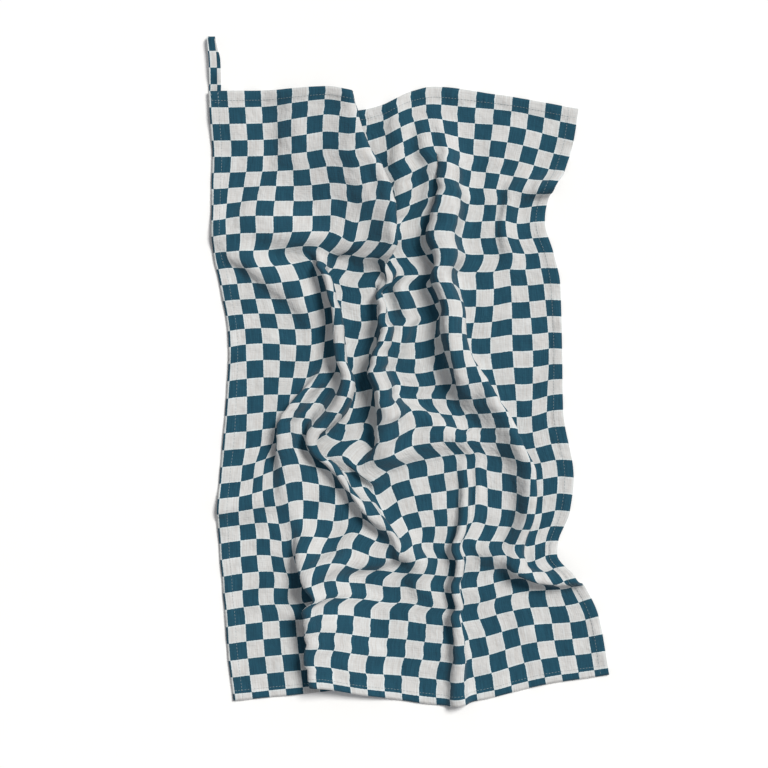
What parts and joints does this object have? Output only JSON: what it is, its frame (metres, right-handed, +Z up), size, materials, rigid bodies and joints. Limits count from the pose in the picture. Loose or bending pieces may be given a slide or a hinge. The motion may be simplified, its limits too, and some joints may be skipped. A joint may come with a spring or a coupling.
{
  "type": "hand towel",
  "caption": "Checked linen hand towel with stitched hems and a sewn hanging loop, lying crumpled in soft folds on a flat surface.",
  "frame": {"origin": "on the surface that the towel lies on, under the middle of its plan box", "axes": "+Z up from the surface, +Y along the towel towards the end with the hanging loop, +X across it"},
  "size_m": [0.4186, 0.696, 0.0339],
  "materials": {
    "checked_linen": "washed plain-woven linen and cotton, blue and off-white checks",
    "loop_tape": "folded tape of the same checked cloth"
  },
  "bodies": {
    "root": {"towel_cloth": "checked_linen", "hanging_loop": "loop_tape"}
  },
  "joints": []
}
